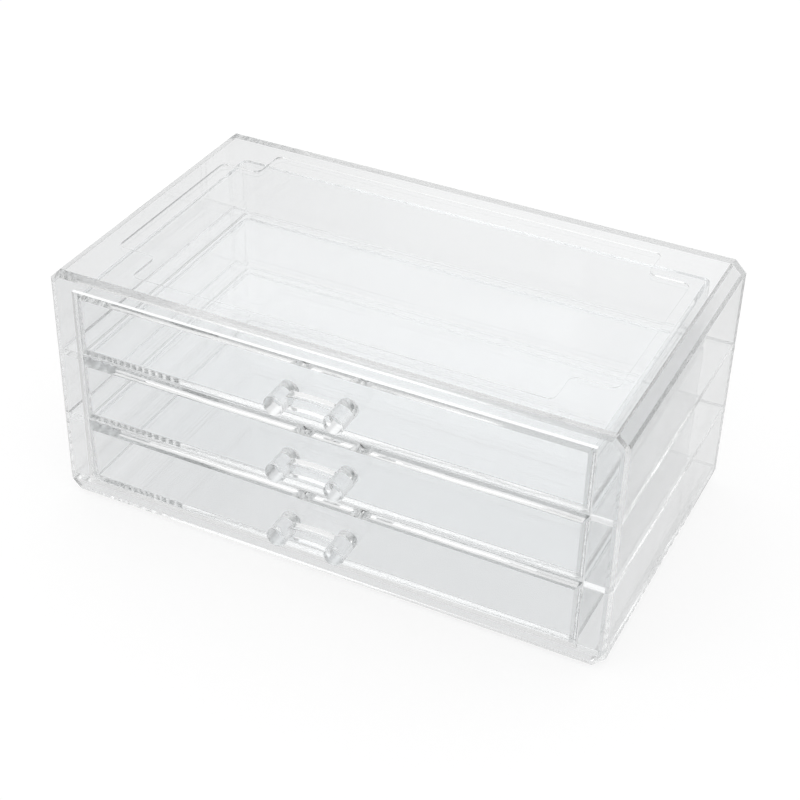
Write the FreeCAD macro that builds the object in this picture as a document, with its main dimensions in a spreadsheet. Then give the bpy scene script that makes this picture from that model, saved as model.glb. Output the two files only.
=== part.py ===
import FreeCAD, Part
import os

import Sketcher
from FreeCAD import Vector

# Clear desk-top organiser with three drawers, in millimetres.
# The frame stands on z = 0 with x to the right and y to the back, and the origin
# is the middle of the case's footprint.  The case is a moulded shell, open at the
# back and closed there by a panel.  Three shelves are bonded inside it, one under
# each drawer.  Each drawer is a tray with a bevelled front plate bonded over its
# open end, and carries one handle: two round knobs with a bowed bar between them.

drivingSizes = [
    ("case_width", 238),
    ("case_depth", 135),
    ("case_height", 107),
    ("wall_thickness", 3),
    ("edge_chamfer", 5),
    ("face_bevel", 2.5),
    ("rear_bevel", 1),
    ("frame_thickness", 3),
    ("side_land", 11.2),
    ("sill_land", 7.1),
    ("header_land", 7.1),
    ("back_thickness", 3),
    ("shelf_thickness", 3),
    ("bond_line", 0.1),
    ("step_depth", 0.6),
    ("step_side_margin", 14.5),
    ("step_end_margin", 10.5),
    ("notch_width", 17.5),
    ("notch_reach", 17),
    ("step_radius", 3),
    ("front_thickness", 3),
    ("front_bevel", 2.5),
    ("front_gap", 0.4),
    ("tray_wall", 2.2),
    ("tray_floor", 2),
    ("tray_side_play", 0.8),
    ("tray_rear_play", 3),
    ("tray_corner", 3),
    ("tray_inner_corner", 0.8),
    ("running_gap", 0.3),
    ("rim_drop", 3),
    ("knob_diameter", 8.4),
    ("knob_length", 12.4),
    ("knob_spacing", 24.8),
    ("handle_rise", 0.8),
    ("knob_edge", 0.5),
    ("bar_height", 6),
    ("bar_depth", 4.6),
    ("bar_standoff", 4.2),
    ("bar_bow", 1.6),
    ("peg_diameter", 4),
    ("peg_play", 0.05),
]

# sizes that follow from the driving ones
halfDepth = "sizes.case_depth / 2"
openingHalf = "(sizes.case_width / 2 - sizes.side_land)"
drawerPitch = "((sizes.case_height - sizes.sill_land - sizes.header_land) / 3)"
handleLevel = f"({drawerPitch} / 2 + sizes.handle_rise)"
chamferLoss = "(2 - sqrt(2))"  # what a 45 degree corner loses in size per millimetre of inset
cavityCorner = f"(sizes.edge_chamfer - sizes.wall_thickness * {chamferLoss})"
panelInset = "(sizes.wall_thickness + sizes.bond_line)"
trayHalf = f"({openingHalf} - sizes.tray_side_play)"
trayUnderside = "(sizes.shelf_thickness / 2 + sizes.running_gap)"
trayRim = f"({drawerPitch} - sizes.front_gap / 2 - sizes.rim_drop)"
trayRear = "(sizes.case_depth - sizes.back_thickness - sizes.tray_rear_play)"

# how closely an edge has to lie on a plane, and run along an axis, to be picked
planeMargin = 1e-3
straightMargin = 1e-4

drawerNames = ["bottom", "middle", "top"]
shelfNames = ["lower_shelf", "middle_shelf", "upper_shelf"]

doc = FreeCAD.newDocument("DrawerOrganiser")
sizes = doc.addObject("Spreadsheet::Sheet", "sizes")
for row, (alias, millimetres) in enumerate(drivingSizes, start=1):
    sizes.set(f"A{row}", alias)
    sizes.set(f"B{row}", str(millimetres))
    sizes.setAlias(f"B{row}", alias)
doc.recompute()


def measure(expression):
    """Present value of an expression over the sheet, for the first guess of a sketch."""
    found = sizes.evalExpression(expression.replace("sizes.", ""))
    return float(getattr(found, "Value", found))


def levelOf(index):
    """Height of the line between two drawers, counted from the opening's sill."""
    return f"sizes.sill_land + {index} * {drawerPitch}"


def newBody(name, behind=None, above=None):
    body = doc.addObject("PartDesign::Body", name)
    body.Label = name
    if behind:
        body.setExpression("Placement.Base.y", behind)
    if above:
        body.setExpression("Placement.Base.z", above)
    return body


def newSketch(body, role, name, offset=None):
    sketch = body.newObject("Sketcher::SketchObject", name)
    plane = next(item for item in body.Origin.OriginFeatures if item.Role == role)
    sketch.AttachmentSupport = [(plane, "")]
    sketch.MapMode = "FlatFace"
    if offset:
        sketch.setExpression("AttachmentOffset.Base.z", offset)
    return sketch


def bindConstraint(sketch, name, kind, *place, size):
    """A dimension of the sketch that the sheet drives."""
    number = sketch.addConstraint(Sketcher.Constraint(kind, *place, measure(size)))
    sketch.renameConstraint(number, name)
    sketch.setExpression(f"Constraints.{name}", size)


def addRectangle(sketch, halfWidth, low, high):
    """Rectangle that is symmetric about the sketch's vertical axis."""
    reach, base, top = measure(halfWidth), measure(low), measure(high)
    corners = [Vector(-reach, base), Vector(reach, base), Vector(reach, top), Vector(-reach, top)]
    for start, end in zip(corners, corners[1:] + corners[:1]):
        sketch.addGeometry(Part.LineSegment(start, end))
    for side in range(4):
        sketch.addConstraint(Sketcher.Constraint("Coincident", side, 2, (side + 1) % 4, 1))
    sketch.addConstraint(Sketcher.Constraint("Horizontal", 2))
    for side in (1, 3):
        sketch.addConstraint(Sketcher.Constraint("Vertical", side))
    sketch.addConstraint(Sketcher.Constraint("Symmetric", 0, 1, 0, 2, -2))
    bindConstraint(sketch, "width", "DistanceX", 0, 1, 0, 2, size=f"2 * {halfWidth}")
    bindConstraint(sketch, "low", "DistanceY", -1, 1, 0, 1, size=low)
    bindConstraint(sketch, "high", "DistanceY", -1, 1, 2, 1, size=high)


def addOctagon(sketch, halfWidth, low, high, corner):
    """Rectangle with four equal 45 degree corners, symmetric about the vertical axis."""
    reach, base, top, cut = measure(halfWidth), measure(low), measure(high), measure(corner)
    rightSide = [
        Vector(reach - cut, base),
        Vector(reach, base + cut),
        Vector(reach, top - cut),
        Vector(reach - cut, top),
    ]
    leftSide = [Vector(-point.x, point.y) for point in reversed(rightSide)]
    points = rightSide + leftSide
    for start, end in zip(points, points[1:] + points[:1]):
        sketch.addGeometry(Part.LineSegment(start, end))
    for side in range(8):
        sketch.addConstraint(Sketcher.Constraint("Coincident", side, 2, (side + 1) % 8, 1))
    for side in range(4):
        sketch.addConstraint(Sketcher.Constraint("Symmetric", side, 1, 7 - side, 1, -2))
    sketch.addConstraint(Sketcher.Constraint("Vertical", 1))
    bindConstraint(sketch, "width", "DistanceX", 6, 1, 1, 1, size=f"2 * {halfWidth}")
    bindConstraint(sketch, "low", "DistanceY", -1, 1, 0, 1, size=low)
    bindConstraint(sketch, "high", "DistanceY", -1, 1, 3, 1, size=high)
    bindConstraint(sketch, "low_across", "DistanceX", 0, 1, 0, 2, size=corner)
    bindConstraint(sketch, "low_upright", "DistanceY", 0, 1, 0, 2, size=corner)
    bindConstraint(sketch, "high_across", "DistanceX", 2, 2, 2, 1, size=corner)
    bindConstraint(sketch, "high_upright", "DistanceY", 2, 1, 2, 2, size=corner)


def addTwinCircles(sketch, spacing, level, diameter):
    """Two equal circles, one on each side of the sketch's vertical axis."""
    reach, height, radius = measure(spacing) / 2, measure(level), measure(diameter) / 2
    for side in (-1, 1):
        sketch.addGeometry(Part.Circle(Vector(side * reach, height), Vector(0, 0, 1), radius))
    sketch.addConstraint(Sketcher.Constraint("Equal", 0, 1))
    sketch.addConstraint(Sketcher.Constraint("Symmetric", 0, 3, 1, 3, -2))
    bindConstraint(sketch, "spacing", "DistanceX", 0, 3, 1, 3, size=spacing)
    bindConstraint(sketch, "diameter", "Diameter", 0, size=diameter)
    if level == "0":
        sketch.addConstraint(Sketcher.Constraint("PointOnObject", 0, 3, -1))
    else:
        bindConstraint(sketch, "level", "DistanceY", -1, 1, 0, 3, size=level)


def padSketch(body, sketch, name, length, reverse=False, midplane=False):
    pad = body.newObject("PartDesign::Pad", name)
    pad.Profile = sketch
    pad.setExpression("Length", length)
    pad.Reversed = reverse
    pad.Midplane = midplane
    doc.recompute()
    return pad


def pocketSketch(body, sketch, name, depth=None, reverse=False):
    """Pocket to a depth, or through everything, that has to remove something."""
    before = body.Tip.Shape.Volume
    pocket = body.newObject("PartDesign::Pocket", name)
    pocket.Profile = sketch
    pocket.Reversed = reverse
    if depth:
        pocket.setExpression("Length", depth)
    else:
        pocket.Type = "ThroughAll"
    doc.recompute()
    if pocket.Shape.Volume >= before:
        raise RuntimeError(f"{name} removes nothing")
    return pocket


def edgesWhere(feature, test):
    return [f"Edge{number}" for number, edge in enumerate(feature.Shape.Edges, start=1) if test(edge)]


def dressEdges(body, kind, name, base, edges, size):
    """Chamfer or fillet on chosen edges of the last feature."""
    if not edges:
        raise RuntimeError(f"{name} finds no edge")
    dress = body.newObject(f"PartDesign::{kind}", name)
    dress.Base = (base, edges)
    dress.setExpression("Radius" if kind == "Fillet" else "Size", size)
    doc.recompute()
    return dress


def runsAlong(edge, axis):
    """True where a straight edge is parallel to the axis 0, 1 or 2."""
    first, last = edge.firstVertex().Point, edge.lastVertex().Point
    return edge.Length > 0 and abs(abs(last[axis] - first[axis]) - edge.Length) < straightMargin


def isNear(value, target):
    return abs(value - target) < planeMargin


def buildOuterCase():
    body = newBody("outer_case")
    half = measure("sizes.case_depth") / 2

    outline = newSketch(body, "XZ_Plane", "case_outline")
    addOctagon(outline, "sizes.case_width / 2", "0", "sizes.case_height", "sizes.edge_chamfer")
    block = padSketch(body, outline, "case_block", "sizes.case_depth", midplane=True)
    frontEdges = edgesWhere(block, lambda edge: isNear(edge.BoundBox.YMax, -half))
    bevelled = dressEdges(body, "Chamfer", "front_bevel", block, frontEdges, "sizes.face_bevel")
    rearEdges = edgesWhere(bevelled, lambda edge: isNear(edge.BoundBox.YMin, half))
    dressEdges(body, "Chamfer", "rear_bevel", bevelled, rearEdges, "sizes.rear_bevel")

    # the hollow is cored from the back and stops at the front frame
    hollow = newSketch(body, "XZ_Plane", "hollow_outline", f"-{halfDepth}")
    addOctagon(
        hollow,
        "(sizes.case_width / 2 - sizes.wall_thickness)",
        "sizes.wall_thickness",
        "sizes.case_height - sizes.wall_thickness",
        cavityCorner,
    )
    pocketSketch(body, hollow, "hollow", "sizes.case_depth - sizes.frame_thickness", reverse=True)

    opening = newSketch(body, "XZ_Plane", "opening_outline", halfDepth)
    addRectangle(opening, openingHalf, "sizes.sill_land", "sizes.case_height - sizes.header_land")
    pocketSketch(body, opening, "front_opening", "sizes.frame_thickness")

    # shallow step in the top: a rectangle with its four corners notched
    buildTopStep(body)
    return body


def buildTopStep(body):
    longReach = "(sizes.case_width / 2 - sizes.step_side_margin)"
    deepReach = f"({halfDepth} - sizes.step_end_margin)"
    crossing = [
        ("step_long", longReach, f"({deepReach} - sizes.notch_reach)"),
        ("step_deep", f"({longReach} - sizes.notch_width)", deepReach),
    ]
    for name, halfWidth, halfReach in crossing:
        outline = newSketch(body, "XY_Plane", f"{name}_outline", "sizes.case_height")
        addRectangle(outline, halfWidth, f"-{halfReach}", halfReach)
        cut = pocketSketch(body, outline, name, "sizes.step_depth")
    top = measure("sizes.case_height")
    depth = measure("sizes.step_depth")
    upright = edgesWhere(
        cut,
        lambda edge: runsAlong(edge, 2) and isNear(edge.Length, depth) and isNear(edge.BoundBox.ZMax, top),
    )
    dressEdges(body, "Fillet", "step_corners", cut, upright, "sizes.step_radius")


def buildBackPanel():
    body = newBody("back_panel", behind=f"{halfDepth} - sizes.back_thickness")
    outline = newSketch(body, "XZ_Plane", "panel_outline")
    addOctagon(
        outline,
        f"(sizes.case_width / 2 - {panelInset})",
        panelInset,
        f"sizes.case_height - {panelInset}",
        f"sizes.edge_chamfer - {panelInset} * {chamferLoss}",
    )
    padSketch(body, outline, "panel", "sizes.back_thickness", reverse=True)
    return body


def buildShelf(name, index):
    """Flat shelf between the walls; the lowest narrows to sit in the case's sloped corners."""
    underside = f"({levelOf(index)} - sizes.shelf_thickness / 2)"
    cornerReach = f"(sizes.wall_thickness + {cavityCorner} - {underside})"
    body = newBody(name, above=underside)
    outline = newSketch(body, "XY_Plane", "shelf_outline")
    addRectangle(
        outline,
        f"(sizes.case_width / 2 - {panelInset} - max(0; {cornerReach}))",
        f"-{halfDepth} + sizes.frame_thickness + sizes.bond_line",
        f"{halfDepth} - sizes.back_thickness - sizes.bond_line",
    )
    padSketch(body, outline, "shelf", "sizes.shelf_thickness")
    return body


def buildTray(name, index):
    """Tray with a floor, two sides and a rear wall; its open end is closed by the front plate."""
    body = newBody(name, behind=f"-{halfDepth}", above=levelOf(index))
    outline = newSketch(body, "XY_Plane", "tray_outline", trayUnderside)
    addRectangle(outline, trayHalf, "sizes.front_thickness", trayRear)
    block = padSketch(body, outline, "tray_block", f"{trayRim} - {trayUnderside}")
    rear = measure(trayRear)
    outerCorners = edgesWhere(block, lambda edge: runsAlong(edge, 2) and isNear(edge.CenterOfMass.y, rear))
    dressEdges(body, "Fillet", "outer_corners", block, outerCorners, "sizes.tray_corner")

    inside = newSketch(body, "XY_Plane", "tray_inside", trayRim)
    addRectangle(inside, f"({trayHalf} - sizes.tray_wall)", "0", f"{trayRear} - sizes.tray_wall")
    hollow = pocketSketch(
        body, inside, "tray_hollow", f"{trayRim} - {trayUnderside} - sizes.tray_floor"
    )
    innerRear = measure(f"{trayRear} - sizes.tray_wall")
    innerCorners = edgesWhere(
        hollow, lambda edge: runsAlong(edge, 2) and isNear(edge.CenterOfMass.y, innerRear)
    )
    dressEdges(body, "Fillet", "inner_corners", hollow, innerCorners, "sizes.tray_inner_corner")
    return body


def buildFront(name, index):
    """Front plate, bevelled on all four sides, with two holes for the handle's pegs."""
    body = newBody(name, behind=f"-{halfDepth}", above=levelOf(index))
    outline = newSketch(body, "XZ_Plane", "front_outline")
    addRectangle(
        outline,
        f"({openingHalf} - sizes.front_gap)",
        "sizes.front_gap / 2",
        f"{drawerPitch} - sizes.front_gap / 2",
    )
    plate = padSketch(body, outline, "front_plate", "sizes.front_thickness", reverse=True)
    rim = edgesWhere(plate, lambda edge: isNear(edge.BoundBox.YMax, 0))
    dressEdges(body, "Chamfer", "front_rim", plate, rim, "sizes.front_bevel")
    holes = newSketch(body, "XZ_Plane", "peg_holes_outline")
    holeDiameter = "sizes.peg_diameter + 2 * sizes.peg_play"
    addTwinCircles(holes, "sizes.knob_spacing", handleLevel, holeDiameter)
    pocketSketch(body, holes, "peg_holes")
    return body


def buildHandle(name, index):
    """Two knobs, the bowed bar that joins them, and the pegs that go through the front plate."""
    body = newBody(name, behind=f"-{halfDepth}", above=f"{levelOf(index)} + {handleLevel}")
    knobs = newSketch(body, "XZ_Plane", "knobs_outline")
    addTwinCircles(knobs, "sizes.knob_spacing", "0", "sizes.knob_diameter")
    padSketch(body, knobs, "knobs", "sizes.knob_length")
    pegs = newSketch(body, "XZ_Plane", "pegs_outline")
    addTwinCircles(pegs, "sizes.knob_spacing", "0", "sizes.peg_diameter")
    padSketch(body, pegs, "pegs", "sizes.front_thickness", reverse=True)

    # the bar is turned about an upright axis in front of it, so it bows towards the drawer
    bowRadius = "((sizes.knob_spacing ^ 2 / 4 + sizes.bar_bow ^ 2) / (2 * sizes.bar_bow))"
    nearSide = "(sizes.bar_standoff - sizes.bar_bow)"
    section = newSketch(body, "YZ_Plane", "bar_section")
    addBarSection(section, nearSide, bowRadius)
    bar = body.newObject("PartDesign::Revolution", "bar")
    bar.Profile = section
    bar.ReferenceAxis = (section, ["Axis0"])
    bar.setExpression("Angle", f"2 * asin(sizes.knob_spacing / 2 / {bowRadius})")
    bar.Midplane = True
    doc.recompute()
    tip = measure("-sizes.knob_length")
    ends = edgesWhere(bar, lambda edge: isNear(edge.BoundBox.YMin, tip) and isNear(edge.BoundBox.YMax, tip))
    dressEdges(body, "Chamfer", "knob_edges", bar, ends, "sizes.knob_edge")
    return body


def addBarSection(sketch, nearSide, bowRadius):
    """Upright rectangle in front of the plate, with the axis that it turns about."""
    near, depth = measure(nearSide), measure("sizes.bar_depth")
    half, radius = measure("sizes.bar_height") / 2, measure(bowRadius)
    corners = [
        Vector(-near - depth, -half),
        Vector(-near, -half),
        Vector(-near, half),
        Vector(-near - depth, half),
    ]
    for start, end in zip(corners, corners[1:] + corners[:1]):
        sketch.addGeometry(Part.LineSegment(start, end))
    axis = Part.LineSegment(Vector(-near - radius, -half), Vector(-near - radius, half))
    sketch.addGeometry(axis, True)
    for side in range(4):
        sketch.addConstraint(Sketcher.Constraint("Coincident", side, 2, (side + 1) % 4, 1))
    for side in (0, 2):
        sketch.addConstraint(Sketcher.Constraint("Horizontal", side))
    sketch.addConstraint(Sketcher.Constraint("Vertical", 3))
    sketch.addConstraint(Sketcher.Constraint("Symmetric", 1, 1, 1, 2, -1))
    sketch.addConstraint(Sketcher.Constraint("Symmetric", 4, 1, 4, 2, -1))
    bindConstraint(sketch, "height", "DistanceY", 1, 1, 1, 2, size="sizes.bar_height")
    bindConstraint(sketch, "axis_height", "DistanceY", 4, 1, 4, 2, size="sizes.bar_height")
    bindConstraint(sketch, "depth", "DistanceX", 0, 1, 0, 2, size="sizes.bar_depth")
    bindConstraint(sketch, "standoff", "DistanceX", 1, 1, -1, 1, size=nearSide)
    bindConstraint(sketch, "bow", "DistanceX", 4, 1, 1, 1, size=bowRadius)


pieces = [buildOuterCase(), buildBackPanel()]
for position, shelfName in enumerate(shelfNames):
    pieces.append(buildShelf(shelfName, position))
for position, drawerName in enumerate(drawerNames):
    pieces.append(buildTray(f"{drawerName}_drawer_tray", position))
    pieces.append(buildFront(f"{drawerName}_drawer_front", position))
    pieces.append(buildHandle(f"{drawerName}_drawer_handle", position))
doc.recompute()

for item in doc.Objects:
    if "Invalid" in item.State or "Error" in item.State:
        raise RuntimeError(f"{item.Label} failed: {item.State}")
for piece in pieces:
    if piece.Shape.isNull() or not piece.Shape.isValid():
        raise RuntimeError(f"{piece.Label} has no valid shape")
    if len(piece.Shape.Solids) != 1:
        raise RuntimeError(f"{piece.Label} is {len(piece.Shape.Solids)} solids")

os.makedirs("parts", exist_ok=True)
for piece in pieces:
    piece.Shape.exportStep(f"parts/{piece.Label}.step")
    extent = piece.Shape.BoundBox
    print(
        f"{piece.Label:24s} {piece.Shape.Volume / 1000:8.2f} cm3"
        f"  x {extent.XMin:8.2f} {extent.XMax:8.2f}"
        f"  y {extent.YMin:8.2f} {extent.YMax:8.2f}"
        f"  z {extent.ZMin:8.2f} {extent.ZMax:8.2f}"
    )
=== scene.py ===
import math
import bmesh
import bpy
from mathutils import Matrix, Vector


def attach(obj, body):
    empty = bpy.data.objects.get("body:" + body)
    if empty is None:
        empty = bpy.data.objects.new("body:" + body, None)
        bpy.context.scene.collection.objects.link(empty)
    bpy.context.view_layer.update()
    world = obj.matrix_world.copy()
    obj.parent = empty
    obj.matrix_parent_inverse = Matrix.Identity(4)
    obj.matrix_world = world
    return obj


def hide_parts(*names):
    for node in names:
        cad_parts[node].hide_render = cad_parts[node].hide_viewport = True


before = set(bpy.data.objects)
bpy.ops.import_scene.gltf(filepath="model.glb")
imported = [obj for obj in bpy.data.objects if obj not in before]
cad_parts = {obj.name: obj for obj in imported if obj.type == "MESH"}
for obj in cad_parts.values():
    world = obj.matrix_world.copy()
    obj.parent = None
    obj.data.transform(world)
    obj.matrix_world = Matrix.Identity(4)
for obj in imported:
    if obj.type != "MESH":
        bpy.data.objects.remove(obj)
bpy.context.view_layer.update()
mm = 0.001  # sizes below are in mm, meshes are in metres


def linkMesh(name, mesh):
    piece = bpy.data.objects.new(name, mesh)
    bpy.context.scene.collection.objects.link(piece)
    return piece


def loftRings(name, rings):
    # closed solid through rings with equal point counts, in mm, capped at both ends
    bm = bmesh.new()
    loops = [[bm.verts.new([value * mm for value in point]) for point in ring] for ring in rings]
    count = len(rings[0])
    for near, far in zip(loops, loops[1:]):
        for i in range(count):
            j = (i + 1) % count
            bm.faces.new((near[i], near[j], far[j], far[i]))
    bm.faces.new(loops[0])
    bm.faces.new(loops[-1])
    bmesh.ops.recalc_face_normals(bm, faces=bm.faces)
    mesh = bpy.data.meshes.new(name)
    bm.to_mesh(mesh)
    bm.free()
    return linkMesh(name, mesh)


def octagon(halfWidth, low, high, corner, y, inset=0.0):
    # upright outline at one y, with 45 degree corners
    w, lo, hi = halfWidth - inset, low + inset, high - inset
    c = corner - inset * (2 - math.sqrt(2))
    right = [(w - c, lo), (w, lo + c), (w, hi - c), (w - c, hi)]
    left = [(-x, z) for x, z in reversed(right)]
    return [(x, y, z) for x, z in right + left]


def rectangle(halfWidth, low, high, y, inset=0.0):
    w, lo, hi = halfWidth - inset, low + inset, high - inset
    return [(x, y, z) for x, z in ((w, lo), (w, hi), (-w, hi), (-w, lo))]


def planPrism(name, plan, zLow, zHigh):
    return loftRings(name, [[(x, y, z) for x, y in plan] for z in (zLow, zHigh)])


def roundedPlan(points, radii, steps=6):
    # outline in plan with each corner rounded by its own radius
    outline = []
    count = len(points)
    for i, (here, radius) in enumerate(zip(points, radii)):
        here = Vector(here)
        before, after = Vector(points[i - 1]), Vector(points[(i + 1) % count])
        inward, outward = (before - here).normalized(), (after - here).normalized()
        centre = here + inward * radius + outward * radius
        for k in range(steps + 1):
            turn = math.pi / 2 * k / steps
            outline.append(
                centre - outward * radius * math.cos(turn) - inward * radius * math.sin(turn)
            )
    return [(point.x, point.y) for point in outline]


def bakeModifiers(piece):
    graph = bpy.context.evaluated_depsgraph_get()
    mesh = bpy.data.meshes.new_from_object(piece.evaluated_get(graph))
    piece.modifiers.clear()
    piece.data = mesh


def carve(base, operation, *tools):
    # joins or cuts with whole solids, then keeps the result as a plain mesh
    for tool in tools:
        step = base.modifiers.new("solid", "BOOLEAN")
        step.operation = operation
        step.solver = "EXACT"
        step.object = tool
    bakeModifiers(base)
    for tool in tools:
        bpy.data.objects.remove(tool, do_unlink=True)


# the clean-up of a joined solid and the rounding of its edges
rounding = {
    "weld": 0.01,
    "flatWithin": 0.5,  # degrees
    "edgesFrom": 28,  # degrees
    "segments": 2,
    "shadeSharpFrom": 50,  # degrees
    "chamferLean": (0.6, 0.8),  # the largest part of a 45 degree chamfer's normal lies between
    "chamferArea": 50,  # square mm, the least that counts as a chamfer
    "faceWeight": 100,
}


def tidyMesh(piece):
    bm = bmesh.new()
    bm.from_mesh(piece.data)
    bmesh.ops.remove_doubles(bm, verts=bm.verts, dist=rounding["weld"] * mm)
    flat = math.radians(rounding["flatWithin"])
    bmesh.ops.dissolve_limit(bm, angle_limit=flat, verts=bm.verts, edges=bm.edges)
    bm.to_mesh(piece.data)
    openEdges = sum(1 for edge in bm.edges if len(edge.link_faces) != 2)
    print(f"  {piece.name}: {len(bm.verts)} points, {len(bm.faces)} faces, {openEdges} open edges")
    bm.free()


def softenEdges(piece, polished, satin, width):
    # rounds the sharp edges, and gives them and the 45 degree chamfers the second finish
    piece.data.materials.clear()
    piece.data.materials.append(polished)
    piece.data.materials.append(satin)
    least, most = rounding["chamferLean"]
    for face in piece.data.polygons:
        lean = max(abs(part) for part in face.normal)
        isChamfer = least < lean < most and face.area > rounding["chamferArea"] * mm * mm
        face.material_index = 1 if isChamfer else 0
    bevel = piece.modifiers.new("edges", "BEVEL")
    bevel.width = width * mm
    bevel.segments = rounding["segments"]
    bevel.limit_method = "ANGLE"
    bevel.angle_limit = math.radians(rounding["edgesFrom"])
    bevel.use_clamp_overlap = True
    bevel.miter_outer = "MITER_ARC"
    bevel.material = 1
    bakeModifiers(piece)
    piece.data.shade_smooth()
    piece.data.set_sharp_from_angle(angle=math.radians(rounding["shadeSharpFrom"]))
    level = piece.modifiers.new("flatFaces", "WEIGHTED_NORMAL")  # keeps the big faces flat
    level.mode = "FACE_AREA"
    level.weight = rounding["faceWeight"]
    level.keep_sharp = True
    bakeModifiers(piece)


def addNode(tree, kind, inputs=None, **settings):
    # a node with its settings, each input linked to a socket or given a plain value
    node = tree.nodes.new(kind)
    for name, value in settings.items():
        setattr(node, name, value)
    for key, value in (inputs or {}).items():
        if isinstance(value, bpy.types.NodeSocket):
            tree.links.new(value, node.inputs[key])
        else:
            node.inputs[key].default_value = value
    return node


def clearPlastic(name, look):
    # polished clear moulding: faint flow waves, a light haze that varies, and fine rubbed scuffs
    material = bpy.data.materials.new(name)
    material.use_nodes = True
    tree = material.node_tree
    tree.nodes.clear()
    place = addNode(tree, "ShaderNodeTexCoord").outputs["Object"]
    flow = addNode(tree, "ShaderNodeTexNoise", {
        "Vector": place,
        "Scale": look["flowScale"],
        "Detail": look["flowDetail"],
    }).outputs["Fac"]
    bump = addNode(tree, "ShaderNodeBump", {
        "Height": flow,
        "Strength": look["flowStrength"],
        "Distance": look["flowDepth"] * mm,
    })
    tint = addNode(tree, "ShaderNodeMix", {
        "Factor": flow,
        "A": (*look["tint"], 1),
        "B": (*look["tintDeep"], 1),
    }, data_type="RGBA")
    haze = addNode(tree, "ShaderNodeTexNoise", {
        "Vector": place,
        "Scale": look["hazeScale"],
        "Detail": look["hazeDetail"],
    }).outputs["Fac"]
    roughness = addNode(tree, "ShaderNodeMapRange", {
        "Value": haze,
        "From Min": look["hazeFrom"],
        "From Max": look["hazeFull"],
        "To Min": look["polish"],
        "To Max": look["scuffed"],
    })
    shader = addNode(tree, "ShaderNodeBsdfPrincipled", {
        "Base Color": tint.outputs["Result"],
        "Roughness": roughness.outputs["Result"],
        "Normal": bump.outputs["Normal"],
        "Transmission Weight": look["clarity"],
        "IOR": look["ior"],
    })
    # long paths inside the plastic go grey
    depth = addNode(tree, "ShaderNodeVolumeAbsorption", {
        "Color": (*look["depthTint"], 1),
        "Density": look["depthDensity"],
    })
    addNode(tree, "ShaderNodeOutputMaterial", {
        "Surface": shader.outputs["BSDF"],
        "Volume": depth.outputs["Volume"],
    })
    return material


plastic = {
    "tint": (0.985, 0.988, 0.99),
    "tintDeep": (0.975, 0.979, 0.981),
    "ior": 1.5,
    "clarity": 1.0,
    "depthTint": (0.1, 0.14, 0.14),
    "depthDensity": 0.4,
    "flowScale": 22,
    "flowDetail": 2,
    "flowStrength": 0.06,
    "flowDepth": 1.0,
    "hazeScale": 320,
    "hazeDetail": 5,
    "hazeFrom": 0.45,
    "hazeFull": 0.75,
    "polish": 0.0,  # roughness where the haze is clear
    "scuffed": 0.05,  # roughness where it is full
}
drawerPlastic = {**plastic, "depthDensity": 1.1}
caseClear = clearPlastic("caseClear", plastic)
# the case's edges and chamfers come out of the mould less polished
caseEdge = clearPlastic("caseEdge", {**plastic, "polish": 0.19, "scuffed": 0.23})
drawerClear = clearPlastic("drawerClear", drawerPlastic)
drawerEdge = clearPlastic("drawerEdge", {**drawerPlastic, "scuffed": 0.06})
handleClear = clearPlastic("handleClear", {**drawerPlastic, "flowStrength": 0.01, "scuffed": 0.02})
print("materials ready")


# outer case with its shelves and back panel, bonded into one clear body
case = {
    "halfWidth": 119.0,
    "halfDepth": 67.5,
    "height": 107.0,
    "wallFront": 2.4,  # the walls are a little thinner at the front than at the back
    "wallRear": 3.0,
    "corner": 5.0,
    "faceBevel": 2.5,
    "rearBevel": 1.0,
    "frameDepth": 3.0,
    "sideLand": 11.2,
    "sill": 7.1,
    "header": 7.1,
    "levels": 3,
    "backDepth": 3.0,
    "backLetIn": 0.6,
    "backInset": 0.02,
    "shelfThickness": 3.0,
    "shelfGap": 0.1,
    "shelfLetIn": 1.0,
    "stepDepth": 0.6,
    "stepHalfWidth": 104.5,
    "stepHalfDepth": 57.0,
    "notchWidth": 17.5,
    "notchReach": 17.0,
    "stepRadius": 3.0,
    "edge": 0.1,
    "cutPast": 5.0,  # how far the cutting solids stand out of the case
    "cutOverlap": 1.0,
}
openingHalf = case["halfWidth"] - case["sideLand"]
pitch = (case["height"] - case["sill"] - case["header"]) / case["levels"]


def caseOutline(y, inset=0.0):
    return octagon(case["halfWidth"], 0, case["height"], case["corner"], y, inset)


def makeCaseShell():
    d, past = case["halfDepth"], case["cutPast"]
    shell = loftRings("outerCase", [
        caseOutline(-d, case["faceBevel"]),
        caseOutline(case["faceBevel"] - d),
        caseOutline(d - case["rearBevel"]),
        caseOutline(d, case["rearBevel"]),
    ])
    hollow = loftRings("hollow", [
        caseOutline(case["frameDepth"] - d, case["wallFront"]),
        caseOutline(d + past, case["wallRear"]),
    ])
    low, high = case["sill"], case["height"] - case["header"]
    opening = loftRings("opening", [
        rectangle(openingHalf, low, high, -d - past),
        rectangle(openingHalf, low, high, case["frameDepth"] - d + case["cutOverlap"]),
    ])
    carve(shell, "DIFFERENCE", hollow, opening)
    return shell


def addShelvesAndBack(shell):
    # one shelf under each drawer, let into the side walls, and the panel in the open back
    d, gap = case["halfDepth"], case["shelfGap"]
    reach = case["halfWidth"] - case["wallFront"] + case["shelfLetIn"]
    near, far = case["frameDepth"] - d + gap, d - case["backDepth"] - gap
    plan = ((-reach, near), (reach, near), (reach, far), (-reach, far))
    half = case["shelfThickness"] / 2
    shelves = []
    for i in range(case["levels"]):
        middle = case["sill"] + i * pitch
        shelves.append(planPrism(f"shelf{i}", plan, middle - half, middle + half))
    inset = case["wallRear"] - case["backLetIn"]
    backPanel = loftRings("backPanel", [
        caseOutline(d - case["backDepth"], inset),
        caseOutline(d - case["backInset"], inset),
    ])
    carve(shell, "UNION", *shelves, backPanel)


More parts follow.
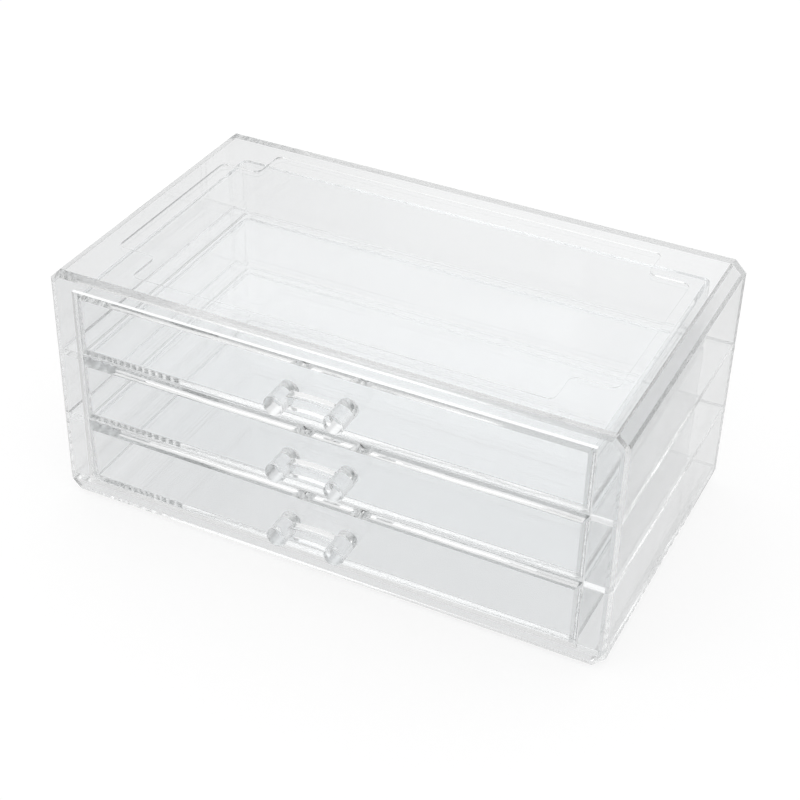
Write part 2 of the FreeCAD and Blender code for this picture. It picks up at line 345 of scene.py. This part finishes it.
def cutRoofStep(shell):
    # shallow step in the roof, a rectangle with its four corners notched
    outX, outY = case["stepHalfWidth"], case["stepHalfDepth"]
    inX, inY = outX - case["notchWidth"], outY - case["notchReach"]
    corners = []
    for signX, signY, turned in ((1, -1, False), (1, 1, True), (-1, 1, False), (-1, -1, True)):
        notch = [(inX, outY), (inX, inY), (outX, inY)]
        notch = [(signX * x, signY * y) for x, y in notch]
        corners += reversed(notch) if turned else notch
    plan = roundedPlan(corners, [case["stepRadius"]] * len(corners))
    floor, above = case["height"] - case["stepDepth"], case["height"] + case["cutPast"]
    carve(shell, "DIFFERENCE", planPrism("step", plan, floor, above))


outerCase = makeCaseShell()
addShelvesAndBack(outerCase)
cutRoofStep(outerCase)
tidyMesh(outerCase)
softenEdges(outerCase, caseClear, caseEdge, case["edge"])
print("case made")


# handle: two knobs and a bowed bar, from a Geometry Nodes tree
handle = {
    "knobDiameter": 8.4,
    "knobLength": 12.4,
    "knobSpacing": 24.8,
    "knobEdge": 0.5,
    "edgeLong": 0.7,  # the rim's first facet, as shares of the knob edge
    "edgeIn": 0.3,
    "knobSides": 72,
    "barHeight": 6.0,
    "barDepth": 4.6,
    "barStandoff": 4.2,
    "barBow": 1.6,
    "barFillet": 0.5,
    "barSteps": 25,
    "filletSteps": 4,
    "rise": 0.8,
    "letIn": 1.0,
}


def handleSizes():
    # the tree's named inputs, in mm
    halfBar = handle["barDepth"] / 2
    return {
        "Knob Radius": handle["knobDiameter"] / 2,
        "Knob Length": handle["knobLength"],
        "Half Spacing": handle["knobSpacing"] / 2,
        "Knob Edge": handle["knobEdge"],
        "Bar Height": handle["barHeight"],
        "Bar Depth": handle["barDepth"],
        "Bar End": handle["barStandoff"] + halfBar,
        "Bar Middle": handle["barStandoff"] - handle["barBow"] + halfBar,
        "Bar Fillet": handle["barFillet"],
        "Let In": handle["letIn"],
    }


def handleTree():
    tree = bpy.data.node_groups.new("barHandle", "GeometryNodeTree")
    tree.interface.new_socket("Geometry", in_out="OUTPUT", socket_type="NodeSocketGeometry")
    for label in handleSizes():
        tree.interface.new_socket(label, in_out="INPUT", socket_type="NodeSocketFloat")
    tree.interface.new_socket("Material", in_out="INPUT", socket_type="NodeSocketMaterial")
    given = addNode(tree, "NodeGroupInput").outputs

    def reckon(operation, first, second):
        node = addNode(tree, "ShaderNodeMath", {0: first, 1: second}, operation=operation)
        return node.outputs[0]

    def point(x, y):
        return addNode(tree, "ShaderNodeCombineXYZ", {"X": x, "Y": y}).outputs[0]

    def pickByIndex(values):
        node = addNode(tree, "GeometryNodeIndexSwitch", data_type="FLOAT")
        while len(node.index_switch_items) < len(values):
            node.index_switch_items.new()
        tree.links.new(index, node.inputs["Index"])
        for slot, value in enumerate(values):
            tree.links.new(value, node.inputs[slot + 1])
        return node.outputs[0]

    # knob: a turned profile swept along its own axis, narrowing at the rim in two facets
    index = addNode(tree, "GeometryNodeInputIndex").outputs[0]
    radius, edge, half = given["Knob Radius"], given["Knob Edge"], given["Half Spacing"]
    tip = reckon("MULTIPLY", given["Knob Length"], -1)
    shoulder = reckon("ADD", tip, edge)
    softShoulder = reckon("SUBTRACT", shoulder, reckon("MULTIPLY", edge, handle["edgeLong"]))
    softRadius = reckon("SUBTRACT", radius, reckon("MULTIPLY", edge, handle["edgeIn"]))
    narrow = reckon("SUBTRACT", radius, edge)
    places = (given["Let In"], shoulder, softShoulder, tip)
    along = pickByIndex(places)
    wide = pickByIndex((radius, radius, softRadius, narrow))
    axis = addNode(tree, "GeometryNodeMeshLine", {"Count": len(places)}, mode="OFFSET")
    spine = addNode(tree, "GeometryNodeMeshToCurve", {"Mesh": axis.outputs["Mesh"]})
    placed = addNode(tree, "GeometryNodeSetPosition", {
        "Geometry": spine.outputs["Curve"],
        "Position": point(0.0, along),
    })
    circle = addNode(tree, "GeometryNodeCurvePrimitiveCircle", {
        "Resolution": handle["knobSides"],
        "Radius": 1.0,
    })
    knob = addNode(tree, "GeometryNodeCurveToMesh", {
        "Curve": placed.outputs["Geometry"],
        "Profile Curve": circle.outputs["Curve"],
        "Scale": wide,
        "Fill Caps": True,
    })
    leftEnd = reckon("MULTIPLY", half, -1)
    pair = addNode(tree, "GeometryNodeMeshLine", {
        "Count": 2,
        "Start Location": point(leftEnd, 0.0),
        "Offset": point(half, 0.0),
    }, mode="END_POINTS")
    knobs = addNode(tree, "GeometryNodeInstanceOnPoints", {
        "Points": pair.outputs["Mesh"],
        "Instance": knob.outputs["Mesh"],
    })
    knobsReal = addNode(tree, "GeometryNodeRealizeInstances", {
        "Geometry": knobs.outputs["Instances"],
    })

    # bar: an upright rectangle swept along an arc that bows towards the drawer
    endY = reckon("MULTIPLY", given["Bar End"], -1)
    middleY = reckon("MULTIPLY", given["Bar Middle"], -1)
    arc = addNode(tree, "GeometryNodeCurveArc", {
        "Resolution": handle["barSteps"],
        "Start": point(leftEnd, endY),
        "Middle": point(0.0, middleY),
        "End": point(half, endY),
    }, mode="POINTS")
    upright = addNode(tree, "GeometryNodeSetCurveNormal", {
        "Curve": arc.outputs["Curve"],
    }, mode="Z_UP")
    section = addNode(tree, "GeometryNodeCurvePrimitiveQuadrilateral", {
        "Width": given["Bar Depth"],
        "Height": given["Bar Height"],
    }, mode="RECTANGLE")
    rounded = addNode(tree, "GeometryNodeFilletCurve", {
        "Curve": section.outputs["Curve"],
        "Count": handle["filletSteps"],
        "Radius": given["Bar Fillet"],
    }, mode="POLY")
    bar = addNode(tree, "GeometryNodeCurveToMesh", {
        "Curve": upright.outputs["Curve"],
        "Profile Curve": rounded.outputs["Curve"],
        "Fill Caps": True,
    })

    union = addNode(tree, "GeometryNodeMeshBoolean", operation="UNION", solver="EXACT")
    for part in (knobsReal.outputs["Geometry"], bar.outputs["Mesh"]):
        tree.links.new(part, union.inputs["Mesh 2"])
    real = addNode(tree, "GeometryNodeRealizeInstances", {"Geometry": union.outputs["Mesh"]})
    finish = addNode(tree, "GeometryNodeSetMaterial", {
        "Geometry": real.outputs["Geometry"],
        "Material": given["Material"],
    })
    addNode(tree, "NodeGroupOutput", {"Geometry": finish.outputs["Geometry"]})
    return tree


def makeHandle(name):
    holder = linkMesh(name, bpy.data.meshes.new(name))
    grow = holder.modifiers.new("handle", "NODES")
    grow.node_group = barHandleTree
    sizes = handleSizes()
    for item in barHandleTree.interface.items_tree:
        if item.name in sizes:
            grow[item.identifier] = sizes[item.name] * mm
        elif item.name == "Material":
            grow[item.identifier] = handleClear
    bakeModifiers(holder)
    return holder


barHandleTree = handleTree()
print("handle tree ready")


# drawer: a bevelled front plate and a moulded tray behind it
drawer = {
    "frontThickness": 3.0,
    "frontBevel": 2.5,
    "frontGap": 0.4,
    "wall": 2.2,
    "rimWall": 1.8,
    "floor": 2.0,
    "sidePlay": 0.8,
    "rearPlay": 3.0,
    "rearRadius": 3.0,
    "leastRadius": 0.6,
    "bottomRound": 0.5,
    "insideRound": 0.8,
    "roundSteps": 8,
    "frontLetIn": 1.5,  # how far the tray's open end reaches into the plate
    "frontLean": 0.4,
    "runningGap": 0.3,
    "rimDrop": 3.0,
    "handleFrom": 0.1,  # what stands out of the plate by more than this is handle
    "edge": 0.1,
}


def trayProfile(under, rim):
    # from the underside up the outer face, over the rim and down the inner face:
    # how far in from the outer face, how high, and whether it lies inside
    steps = drawer["roundSteps"]
    turns = [math.pi / 2 * k / steps for k in range(steps + 1)]
    outer, inner = drawer["bottomRound"], drawer["insideRound"]
    wall, floorTop = drawer["wall"], under + drawer["floor"]
    profile = []
    for t in turns:
        profile.append((outer * (1 - math.sin(t)), under + outer * (1 - math.cos(t)), False))
    profile += [(0, rim, False), (drawer["rimWall"], rim, True)]
    for t in turns:
        height = floorTop + inner * (1 - math.sin(t))
        profile.append((wall + inner * (1 - math.cos(t)), height, True))
    return profile


def makeTray(level, high):
    half = openingHalf - drawer["sidePlay"]
    plateBack = -case["halfDepth"] + drawer["frontThickness"]
    rear = case["halfDepth"] - case["backDepth"] - drawer["rearPlay"]
    under = level + case["shelfThickness"] / 2 + drawer["runningGap"]
    least = drawer["leastRadius"]
    rings = []
    for inward, height, inside in trayProfile(under, high - drawer["rimDrop"]):
        if inside:
            front = plateBack + (inward - drawer["wall"])
        else:
            front = plateBack + (-drawer["frontLetIn"] + inward * drawer["frontLean"])
        side, back = half - inward, rear - inward
        corners = [(-side, front), (side, front), (side, back), (-side, back)]
        radius = max(least, drawer["rearRadius"] - inward)
        plan = roundedPlan(corners, [least, least, radius, radius])
        rings.append([(x, y, height) for x, y in plan])
    return loftRings("tray", rings)


def makeDrawer(name, level):
    front = -case["halfDepth"]
    half = openingHalf - drawer["frontGap"]
    low, high = level + drawer["frontGap"] / 2, level + pitch - drawer["frontGap"] / 2
    plate = loftRings(name, [
        rectangle(half, low, high, front, drawer["frontBevel"]),
        rectangle(half, low, high, front + drawer["frontBevel"]),
        rectangle(half, low, high, front + drawer["frontThickness"]),
    ])
    tray = makeTray(level, high)
    grip = makeHandle("grip")
    gripHeight = level + pitch / 2 + handle["rise"]
    grip.data.transform(Matrix.Translation((0, front * mm, gripHeight * mm)))
    carve(plate, "UNION", tray, grip)
    tidyMesh(plate)
    softenEdges(plate, drawerClear, drawerEdge, drawer["edge"])
    plate.data.materials.append(handleClear)
    for face in plate.data.polygons:
        if face.center.y < (front - drawer["handleFrom"]) * mm:
            face.material_index = 2
    return plate


drawers = {}
for i, level in enumerate(("bottom", "middle", "top")):
    drawers[level] = makeDrawer(f"{level}Drawer", case["sill"] + i * pitch)
print("drawers made")


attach(outerCase, "case")
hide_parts("outer_case", "back_panel", "lower_shelf", "middle_shelf", "upper_shelf")
for level, piece in drawers.items():
    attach(piece, f"{level}_drawer")
    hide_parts(f"{level}_drawer_tray", f"{level}_drawer_front", f"{level}_drawer_handle")


# the room as the clear plastic sees it: an even part and a few broad soft pools, where the pools
# on the floor are painted shade
# each pool: the way it lies, where it begins and where it is full along that way, and its strength
studio = {
    "floorHalf": 6.0,  # metres
    "floorDrop": 0.3,
    "floorColour": (0.25, 0.25, 0.25),
    "floorSeen": 0.83,
    "floorLit": 0.7,
    "floorEven": 0.72,
    # painted shade: the floor's glow is darker to the right of the case and a little to its left,
    # seen only in gloss and through the plastic
    "floorPaintedShade": {
        "rightPaintedShade": ((1, 0, 0), 0.08, 0.35, -0.6),
        "leftPaintedShade": ((-1, 0, 0), 0.04, 0.3, -0.15),
    },
    "skySeen": 1.0,
    "skyLit": 0.75,
    "skyEven": 0.69,
    "skyPools": {
        "bankBehind": ((-0.38, 0.70, 0.60), 0.75, 0.98, 0.48),
        "bankRight": ((1, 0, 0.3), 0.0, 0.9, 0.35),
        "bankFront": ((0, -0.5, 0.87), 0.6, 0.95, 0.08),
        "darkEnd": ((0.38, -0.70, 0.60), 0.84, 0.97, -1.0),
    },
    "clearBounces": 320,  # fewer leave black in the corners of the plastic
    "transparentBounces": 24,
}


def poolSum(tree, vector, even, pools):
    total = even
    for way, begins, full, strength in pools.values():
        along = addNode(tree, "ShaderNodeVectorMath", {
            0: vector,
            1: Vector(way).normalized(),
        }, operation="DOT_PRODUCT")
        rise = addNode(tree, "ShaderNodeMapRange", {
            "Value": along.outputs["Value"],
            "From Min": begins,
            "From Max": full,
            "To Min": 0.0,
            "To Max": strength,
        }, interpolation_type="SMOOTHSTEP")
        total = addNode(tree, "ShaderNodeMath", {
            0: rise.outputs["Result"],
            1: total,
        }, operation="ADD").outputs[0]
    return addNode(tree, "ShaderNodeMath", {0: total, 1: 0.0}, operation="MAXIMUM").outputs[0]


def seenBy(tree, seen, lit, room):
    # the eye sees a plain pale ground, other things are lit by an even level,
    # and gloss and clear plastic show the room
    path = addNode(tree, "ShaderNodeLightPath").outputs
    clearOrGloss = addNode(tree, "ShaderNodeMath", {
        0: path["Is Glossy Ray"],
        1: path["Is Transmission Ray"],
    }, operation="MAXIMUM")
    around = addNode(tree, "ShaderNodeMix", {
        "Factor": clearOrGloss.outputs[0],
        "A": lit,
        "B": room,
    }, data_type="FLOAT")
    pick = addNode(tree, "ShaderNodeMix", {
        "Factor": path["Is Camera Ray"],
        "A": around.outputs["Result"],
        "B": seen,
    }, data_type="FLOAT")
    return pick.outputs["Result"]


def makeFloor():
    half, z = studio["floorHalf"], -studio["floorDrop"] * mm
    mesh = bpy.data.meshes.new("floor")
    corners = [(-half, -half, z), (half, -half, z), (half, half, z), (-half, half, z)]
    mesh.from_pydata(corners, [], [(0, 1, 2, 3)])
    floor = linkMesh("floor", mesh)
    material = bpy.data.materials.new("floorPaper")
    material.use_nodes = True
    tree = material.node_tree
    tree.nodes.clear()
    place = addNode(tree, "ShaderNodeTexCoord").outputs["Object"]
    # the pools here are painted shade, darkening the floor's glow beside the case
    pools = poolSum(tree, place, studio["floorEven"], studio["floorPaintedShade"])
    paper = addNode(tree, "ShaderNodeBsdfDiffuse", {"Color": (*studio["floorColour"], 1)})
    glow = addNode(tree, "ShaderNodeEmission", {
        "Color": (1, 1, 1, 1),
        "Strength": seenBy(tree, studio["floorSeen"], studio["floorLit"], pools),
    })
    both = addNode(tree, "ShaderNodeAddShader", {0: paper.outputs[0], 1: glow.outputs[0]})
    addNode(tree, "ShaderNodeOutputMaterial", {"Surface": both.outputs[0]})
    mesh.materials.append(material)


def makeSky():
    world = bpy.data.worlds.new("studioSky")
    world.use_nodes = True
    bpy.context.scene.world = world
    tree = world.node_tree
    tree.nodes.clear()
    where = addNode(tree, "ShaderNodeTexCoord").outputs["Generated"]
    pools = poolSum(tree, where, studio["skyEven"], studio["skyPools"])
    sky = addNode(tree, "ShaderNodeBackground", {
        "Color": (1, 1, 1, 1),
        "Strength": seenBy(tree, studio["skySeen"], studio["skyLit"], pools),
    })
    addNode(tree, "ShaderNodeOutputWorld", {"Surface": sky.outputs[0]})


# metres and watts
frontLeftBox = {
    "location": (-0.46, -0.78, 0.9),
    "aim": (0, 0, 0.05),
    "size": (0.5, 0.4),
    "watts": 0.6,
}


def makeSoftBox(name, box):
    light = bpy.data.lights.new(name, "AREA")
    light.shape = "RECTANGLE"
    light.size, light.size_y = box["size"]
    light.energy = box["watts"]
    lamp = bpy.data.objects.new(name, light)
    lamp.location = box["location"]
    towards = Vector(box["aim"]) - Vector(box["location"])
    lamp.rotation_euler = towards.to_track_quat("-Z", "Y").to_euler()
    bpy.context.scene.collection.objects.link(lamp)


# degrees for the angles, metres for the place, mm for the lens
view = {
    "azimuth": 25.4349,
    "elevation": 35.0928,
    "roll": 1.53026,
    "place": (0.25275, -0.52947, 0.45505),
    "lens": 78.80,
    "sensor": 36,
    "nearest": 0.01,
}


def makeCamera():
    a, e, r = (math.radians(view[k]) for k in ("azimuth", "elevation", "roll"))
    back = Vector((math.sin(a) * math.cos(e), -math.cos(a) * math.cos(e), math.sin(e)))
    right = Vector((math.cos(a), math.sin(a), 0))
    up = back.cross(right)
    turnedRight = math.cos(r) * right + math.sin(r) * up
    turnedUp = math.cos(r) * up - math.sin(r) * right
    data = bpy.data.cameras.new("camera")
    data.lens = view["lens"]
    data.sensor_width = view["sensor"]
    data.clip_start = view["nearest"]
    camera = bpy.data.objects.new("camera", data)
    rotation = Matrix((turnedRight, turnedUp, back)).transposed().to_4x4()
    camera.matrix_world = Matrix.Translation(view["place"]) @ rotation
    bpy.context.scene.collection.objects.link(camera)
    bpy.context.scene.camera = camera


makeFloor()
makeSky()
makeSoftBox("frontLeftBox", frontLeftBox)
makeCamera()
bpy.context.scene.view_settings.view_transform = "Standard"
cycles = bpy.context.scene.cycles
cycles.max_bounces = studio["clearBounces"]
cycles.transmission_bounces = studio["clearBounces"]
cycles.glossy_bounces = studio["clearBounces"]
cycles.transparent_max_bounces = studio["transparentBounces"]
print("studio ready")
